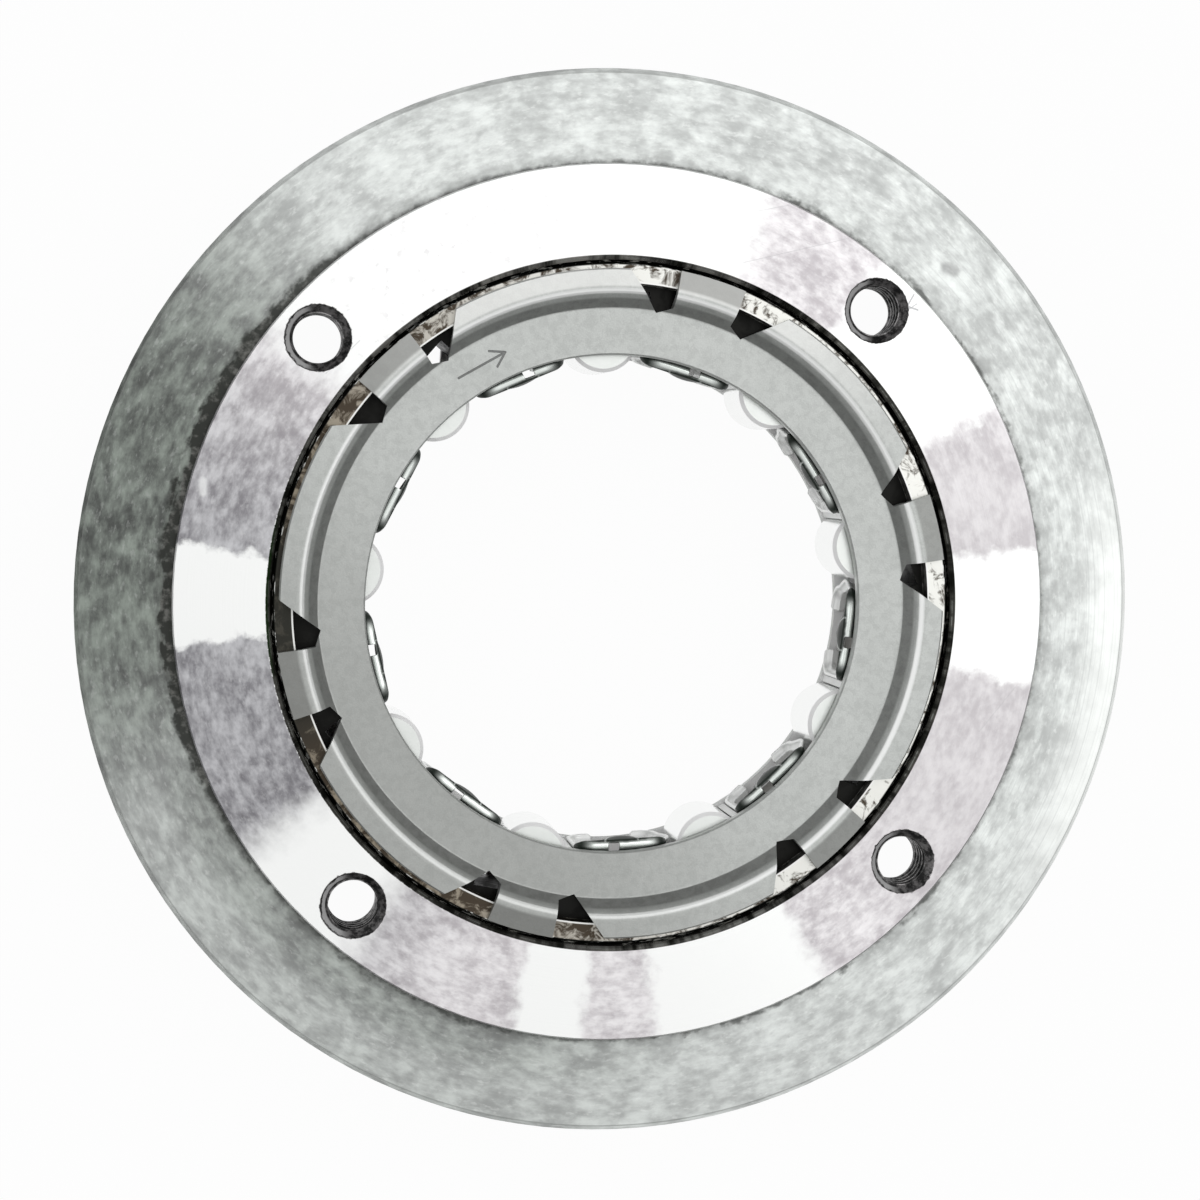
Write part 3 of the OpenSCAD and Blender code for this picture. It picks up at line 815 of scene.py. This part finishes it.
def spring_steel():
    """Polished strip with a bright crest, painted shade at its edges, bends and tongue, a painted glint on
    the tongue, and painted pale behind as painted light.
    """
    g = Graph("spring_steel")
    haze = g.noise(g.place, *SPRING_HAZE)
    from_crest = g.math("ABSOLUTE", g.math("SUBTRACT", g.radius, LOOP_INNER_R + CREST_SHIFT))
    wavy = g.math("MULTIPLY_ADD", g.centred(haze), 0.3, from_crest)
    _, along = g.folded(ROLLER_COUNT, ROLLER_ANGLE - PITCH / 2, 0)
    from_middle = g.math("ABSOLUTE", along)
    crest = g.times(
        g.step(wavy, 0.46, 0.16),
        g.step(from_middle, LOOP_L / 2 - 0.6, LOOP_L / 2 - 2.2),
        g.step(g.z, ROLLER_HIGH_Z - TOP_DEPTH - 0.1, ROLLER_HIGH_Z - TOP_DEPTH),
    )
    bends = g.step(g.z, ROLLER_HIGH_Z - BEND_DEPTH - 0.4, ROLLER_HIGH_Z - BEND_DEPTH)
    tongue = g.times(
        g.step(g.z, ROLLER_HIGH_Z - TONGUE_DEPTH - 0.2, ROLLER_HIGH_Z - TONGUE_DEPTH),
        g.step(g.radius, LOOP_INNER_R + 0.45, LOOP_INNER_R + 0.40),
        g.step(from_middle, TONGUE_L / 2 + 0.1, TONGUE_L / 2),
    )
    front = g.most(bends, tongue)
    across = g.math("DIVIDE", along, TONGUE_L / 2)
    down = g.math("DIVIDE", g.math("SUBTRACT", ROLLER_HIGH_Z, g.z), TONGUE_H)
    from_root = g.length(g.joined(across, down, 0))
    # Painted glint: a pale ring on the tongue that the painted shade leaves out
    glint = g.times(
        g.within(from_root, 0.72, 0.78, 0.04),
        g.step(g.radius, LOOP_INNER_R + 0.4, LOOP_INNER_R + 0.3),
        0.7,
    )
    # Painted shade at the strip's edges and bends and on the tongue, leaving the crest and the glint
    dark = g.math("SUBTRACT", front, g.most(crest, glint), clamp=True)
    # Painted light: the deep parts of the spring pale
    color = g.mix(front, SPRING_DEEP_LIGHT, g.mix(haze, CREST_DARK, CREST_PALE))
    color = g.mix(dark, color, SPRING_SHADE)
    g.shader.inputs["Specular IOR Level"].default_value = 0.3
    metallic = g.times(g.between(front, 0.6, 1.0), g.math("SUBTRACT", 1, dark))
    roughness = g.between(front, 0.5, g.between(dark, 0.17, 0.38))
    return g.finish(color, metallic, roughness, haze, 0.006)


def dress(nodes, material):
    """Gives CAD nodes their material."""
    for name in nodes:
        for slot in frame["nodes"][name].material_slots:
            slot.material = material


def linked(name, data):
    """A new object in the scene."""
    made = bpy.data.objects.new(name, data)
    bpy.context.scene.collection.objects.link(made)
    return made


def mesh_data(name, mesh):
    """Mesh data with the shape of a bmesh, which is freed."""
    data = bpy.data.meshes.new(name)
    mesh.to_mesh(data)
    mesh.free()
    return data


def new_piece(name, mesh, material):
    """A finished object that rides with the housing."""
    piece = linked(name, mesh)
    mesh.materials.append(material)
    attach(piece, "housing")
    return piece


def tube_of_rings(mesh, rings, closed_along=False):
    """Skins a list of closed rings of points, and caps its two ends unless it closes on itself."""
    made = [[mesh.verts.new(point) for point in ring] for ring in rings]
    count = len(made[0])
    pairs = list(zip(made, made[1:] + ([made[0]] if closed_along else [])))
    for first, second in pairs:
        for i in range(count):
            j = (i + 1) % count
            mesh.faces.new((first[i], first[j], second[j], second[i]))
    if not closed_along:
        mesh.faces.new(list(reversed(made[0])))
        mesh.faces.new(made[-1])


def loop_path():
    """Middle line of the strip with its outward directions, from one end of the strip to the other."""
    half_l = (LOOP_L - STRIP_T) / 2
    half_h = (LOOP_H - STRIP_T) / 2
    bend = BEND_R - STRIP_T / 2
    leg = half_h - bend
    points = []

    def run(start, end, steps):
        for i in range(steps):
            points.append(Vector(start).lerp(Vector(end), i / steps))

    def turn(centre, first_degrees):
        for i in range(BEND_STEPS):
            a = math.radians(first_degrees + 90 * i / BEND_STEPS)
            points.append(Vector(centre) + bend * Vector((math.cos(a), math.sin(a))))

    def bowed_leg():
        for i in range(BOWED_STEPS):
            z = leg * (2 * i / BOWED_STEPS - 1)
            bow = LEG_BOW * (1 + math.cos(math.pi * z / leg)) / 2
            points.append(Vector((half_l + bow, z)))

    run((LOOP_OPENING / 2, -half_h), (half_l - bend, -half_h), REAR_STEPS)
    turn((half_l - bend, -leg), -90)
    bowed_leg()
    turn((half_l - bend, leg), 0)
    run((half_l - bend, half_h), (bend - half_l, half_h), FRONT_STEPS)
    turn((bend - half_l, leg), 90)
    run((-half_l, leg), (-half_l, -leg), PLAIN_STEPS)
    turn((bend - half_l, -leg), 180)
    run((bend - half_l, -half_h), (-LOOP_OPENING / 2, -half_h), REAR_STEPS)
    points.append(Vector((-LOOP_OPENING / 2, -half_h)))
    path = []
    for i, point in enumerate(points):
        ahead = points[min(i + 1, len(points) - 1)] - points[max(i - 1, 0)]
        path.append((point, Vector((ahead.y, -ahead.x)).normalized()))
    return path


def strip_section(inset, narrow):
    """Section of the strip: across its width from the middle, and out of its face.

    inset is taken off the side of the axis and narrow off both sides. The face is crowned near the axis.
    """
    low = -STRIP_W / 2 + inset + narrow + STRIP_EDGE_R
    high = STRIP_W / 2 - narrow - STRIP_EDGE_R
    crest = -STRIP_W / 2 + CREST_SHIFT
    half_t = STRIP_T / 2

    def drop(u):
        return STRIP_CROWN * min(1.0, ((u - crest) / CREST_SHIFT) ** 2)

    section = []
    for side in (1, -1):
        for i in range(SECTION_STEPS + 1):
            share = i / SECTION_STEPS if side < 0 else 1 - i / SECTION_STEPS
            u = low + (high - low) * share
            section.append((u, side * half_t - drop(u)))
        end = low if side > 0 else high
        for i in range(1, EDGE_STEPS):
            a = math.pi * i / EDGE_STEPS
            u = end - side * STRIP_EDGE_R * math.sin(a)
            section.append((u, side * half_t * math.cos(a) - drop(end)))
    return section


def strip_inset(point):
    """How far the strip's inner edge lies back at a point of the loop: only its front reaches the race."""
    if point.y < 0:
        return LEG_INSET
    start = (LOOP_L - STRIP_T) / 2 - INSET_RUN
    share = min(1.0, max(0.0, (abs(point.x) - start) / INSET_RUN))
    return LEG_INSET * (1 - math.sqrt(1 - share ** 2))


def tongue_rings():
    """The tongue that is bent down beside the inner race, as rings from its root to its tip."""
    top = LOOP_H / 2 - TONGUE_ROOT
    rings = []
    for i in range(TONGUE_STEPS + 1):
        share = math.sin(math.pi / 2 * min(i / TONGUE_STEPS, TONGUE_TIP_SHARE))
        depth = (TONGUE_H - TONGUE_ROOT) * share
        half = TONGUE_L / 2 * math.sqrt(1 - share ** 2)
        bulge = TONGUE_BULGE * math.sin(math.pi * min(share * TONGUE_BULGE_SHARE, 1.0))
        thickness = STRIP_T / 2 * min(1, half / TONGUE_THIN_HALF)
        ring = []
        for k in range(TONGUE_AROUND):
            a = 2 * math.pi * k / TONGUE_AROUND
            toward_race = bulge * math.cos(math.pi / 2 * abs(math.cos(a)))
            radius = LOOP_INNER_R + TONGUE_SEAT - toward_race + thickness * math.sin(a)
            ring.append((radius, half * math.cos(a), top - depth))
        rings.append(ring)
    return rings


def window_cutter():
    """Rounded square bar that cuts the window in the front of the loop."""
    half = WINDOW_W / 2
    middle = LOOP_INNER_R + WINDOW_INSET + half
    ring = []
    for corner in range(4):
        sign_x = 1 if corner in (0, 3) else -1
        sign_y = 1 if corner in (0, 1) else -1
        for i in range(CORNER_STEPS + 1):
            a = math.radians(90 * (corner + i / CORNER_STEPS))
            x = middle + sign_x * (half - WINDOW_CORNER_R) + WINDOW_CORNER_R * math.cos(a)
            y = sign_y * (half - WINDOW_CORNER_R) + WINDOW_CORNER_R * math.sin(a) - WINDOW_SHIFT
            ring.append((x, y))
    ends = (LOOP_H / 2 - WINDOW_DEPTH, LOOP_H / 2 + WINDOW_DEPTH)
    mesh = bmesh.new()
    tube_of_rings(mesh, [[(x, y, z) for x, y in ring] for z in ends])
    return linked("window", mesh_data("window", mesh))


def strip_mesh():
    """The folded strip, with its window cut."""
    middle = LOOP_INNER_R + STRIP_W / 2
    path = loop_path()
    rings = []
    for i, (point, outward) in enumerate(path):
        from_end = min(i, len(path) - 1 - i)
        narrow = END_NARROW * max(0, 1 - from_end / END_RINGS)
        rings.append([
            (middle + u, point.x + outward.x * v, point.y + outward.y * v)
            for u, v in strip_section(strip_inset(point), narrow)
        ])
    mesh = bmesh.new()
    tube_of_rings(mesh, rings)
    bmesh.ops.recalc_face_normals(mesh, faces=mesh.faces)
    strip = linked("strip", mesh_data("strip", mesh))
    cutter = window_cutter()
    cut = strip.modifiers.new("window", "BOOLEAN")
    cut.object = cutter
    cut.solver = "EXACT"
    bpy.context.view_layer.update()
    graph = bpy.context.evaluated_depsgraph_get()
    cut_mesh = bpy.data.meshes.new_from_object(strip.evaluated_get(graph))
    bpy.data.objects.remove(cutter)
    bpy.data.objects.remove(strip)
    return cut_mesh


def spring_mesh():
    """One folded strip spring, with X along the radius through its middle and Z = 0 at half height."""
    data = strip_mesh()
    mesh = bmesh.new()
    mesh.from_mesh(data)
    tube_of_rings(mesh, tongue_rings())
    bmesh.ops.recalc_face_normals(mesh, faces=mesh.faces)
    for face in mesh.faces:
        face.smooth = True
    mesh.to_mesh(data)
    mesh.free()
    return data


def build_springs(material):
    """A detailed spring in place of each plain one."""
    master = spring_mesh()
    for i in range(1, ROLLER_COUNT + 1):
        a = math.radians(ROLLER_ANGLE + (i - 1.5) * PITCH)
        mesh = master.copy()
        turned = Matrix.Rotation(a, 4, "Z") @ Matrix.Translation((0, 0, LOOP_MID_Z))
        mesh.transform(Matrix.Scale(MM, 4) @ turned)
        piece = new_piece(f"strip_spring_{i}", mesh, material)
        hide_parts(f"spring_{i}")
        round_way = Vector((-math.sin(a), math.cos(a), 0))
        out_way = Vector((math.cos(a), math.sin(a), 0))
        anchor = (out_way * (LOOP_INNER_R + STRIP_W / 2) - round_way * LOOP_L / 2) * MM
        anchor.z = LOOP_MID_Z * MM
        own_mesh(piece)


def thread_mesh():
    """The thread of one tapped hole, a sleeve in its wall with helical crests on the inside."""

    def seat(a, z):
        return THREAD_SEAT_R

    def crest(a, z):
        share = (z / THREAD_PITCH - a / (2 * math.pi)) % 1
        rise = max(0, 1 - abs(share - 0.5) / THREAD_FLANK)
        return THREAD_ROOT_R - THREAD_CREST * min(1, THREAD_FLAT * rise)

    def ring(radius_at, z):
        points = []
        for k in range(THREAD_STEPS):
            a = 2 * math.pi * k / THREAD_STEPS
            r = radius_at(a, z)
            points.append((r * math.cos(a), r * math.sin(a), z))
        return points

    length = THREAD_HIGH_Z - THREAD_LOW_Z
    rows = int(length * THREAD_ROWS_PER_TURN / THREAD_PITCH)
    rings = [ring(crest, THREAD_LOW_Z + length * i / rows) for i in range(rows + 1)]
    rings.append(ring(seat, THREAD_HIGH_Z))
    rings.append(ring(seat, THREAD_LOW_Z))
    mesh = bmesh.new()
    tube_of_rings(mesh, rings, closed_along=True)
    bmesh.ops.recalc_face_normals(mesh, faces=mesh.faces)
    return mesh_data("thread", mesh)


def build_threads(material):
    master = thread_mesh()
    for i in range(HOLE_COUNT):
        a = math.radians(HOLE_ANGLE + i * 360 / HOLE_COUNT)
        place = Matrix.Rotation(a, 4, "Z") @ Matrix.Translation((HOLE_CIRCLE_R, 0, 0))
        mesh = master.copy()
        mesh.transform(Matrix.Scale(MM, 4) @ place)
        new_piece(f"hole_thread_{i + 1}", mesh, material)


def build_camera():
    data = bpy.data.cameras.new("camera")
    data.lens = CAMERA_LENS
    data.sensor_width = CAMERA_SENSOR
    data.clip_start, data.clip_end = CAMERA_CLIP
    camera = linked("camera", data)
    place = Vector(CAMERA_PLACE) * MM
    back = (place - Vector(CAMERA_TARGET) * MM).normalized()
    right = Vector((0, 1, 0)).cross(back).normalized()
    up = back.cross(right)
    turn = Matrix((right, up, back)).transposed().to_4x4()
    roll = Matrix.Rotation(math.radians(CAMERA_ROLL), 4, "Z")
    camera.matrix_world = Matrix.Translation(place) @ turn @ roll
    bpy.context.scene.camera = camera


def floor_white():
    """Plain white to the camera and in reflections, but for a trace of the object's shadow."""
    material = bpy.data.materials.new("floor_white")
    material.use_nodes = True
    nodes = Nodes(material.node_tree)
    shader = nodes.tree.nodes["Principled BSDF"]
    shader.inputs["Base Color"].default_value = FLOOR_COLOR
    shader.inputs["Roughness"].default_value = FLOOR_ROUGHNESS
    shine = nodes.node("ShaderNodeEmission")
    shine.inputs["Strength"].default_value = 1
    rays = nodes.node("ShaderNodeLightPath").outputs
    seen = nodes.most(rays["Is Camera Ray"], rays["Is Glossy Ray"], rays["Is Transmission Ray"])
    both = nodes.node("ShaderNodeMixShader")
    nodes.put(both.inputs[0], nodes.times(seen, FLOOR_PLAIN))
    nodes.put(both.inputs[1], shader.outputs[0])
    nodes.put(both.inputs[2], shine.outputs[0])
    nodes.put(nodes.tree.nodes["Material Output"].inputs["Surface"], both.outputs[0])
    return material


def build_floor():
    """Floor that the hub stands on."""
    mesh = bmesh.new()
    bmesh.ops.create_grid(mesh, x_segments=1, y_segments=1, size=FLOOR_SIZE / 2)
    floor = linked("floor", mesh_data("floor", mesh))
    floor.location.z = -FLOOR_GAP * MM
    floor.data.materials.append(floor_white())


def build_world():
    """White where the camera sees it. Reflections see it bright above, dim near the horizon, and brighter
    towards the key lamp.
    """
    world = bpy.data.worlds.new("studio")
    world.use_nodes = True
    bpy.context.scene.world = world
    nodes = Nodes(world.node_tree)
    background = nodes.tree.nodes["Background"]
    way = nodes.node("ShaderNodeTexCoord").outputs["Generated"]
    _, _, up = nodes.split(way)
    height = nodes.between(nodes.step(up, *HORIZON), HORIZON_LEVEL, 1)
    level = nodes.math("ADD", nodes.vector("DOT_PRODUCT", way, SKY_SLOPE, output="Value"), SKY_LEVEL)
    sky = nodes.math("MULTIPLY", height, level, clamp=True)
    rays = nodes.node("ShaderNodeLightPath").outputs
    light = nodes.between(rays["Is Glossy Ray"], DIFFUSE_LEVEL, sky)
    nodes.put(background.inputs["Strength"], nodes.between(rays["Is Camera Ray"], light, 1))
    background.inputs["Color"].default_value = (1, 1, 1, 1)


def add_lamp(name, place, size, power):
    """Soft square lamp that points at the clutch."""
    data = bpy.data.lights.new(name, "AREA")
    data.size = size
    data.energy = power
    lamp = linked(name, data)
    lamp.location = place
    lamp.rotation_euler = (Vector(place) - Vector(LAMP_TARGET)).to_track_quat("Z", "Y").to_euler()


def main():
    flange = FlangeSteel().build()
    dress(["outer_flange"], flange)
    dress(["cam_ring"], race_steel())
    dress(["front_side_plate", "rear_side_plate"], plate_steel())
    dress([f"roller_{i}" for i in range(1, ROLLER_COUNT + 1)], roller_steel())
    build_springs(spring_steel())
    build_threads(flange)
    build_camera()
    build_floor()
    build_world()
    for lamp in LAMPS:
        add_lamp(*lamp)
    bpy.context.scene.view_settings.view_transform = "Standard"


main()
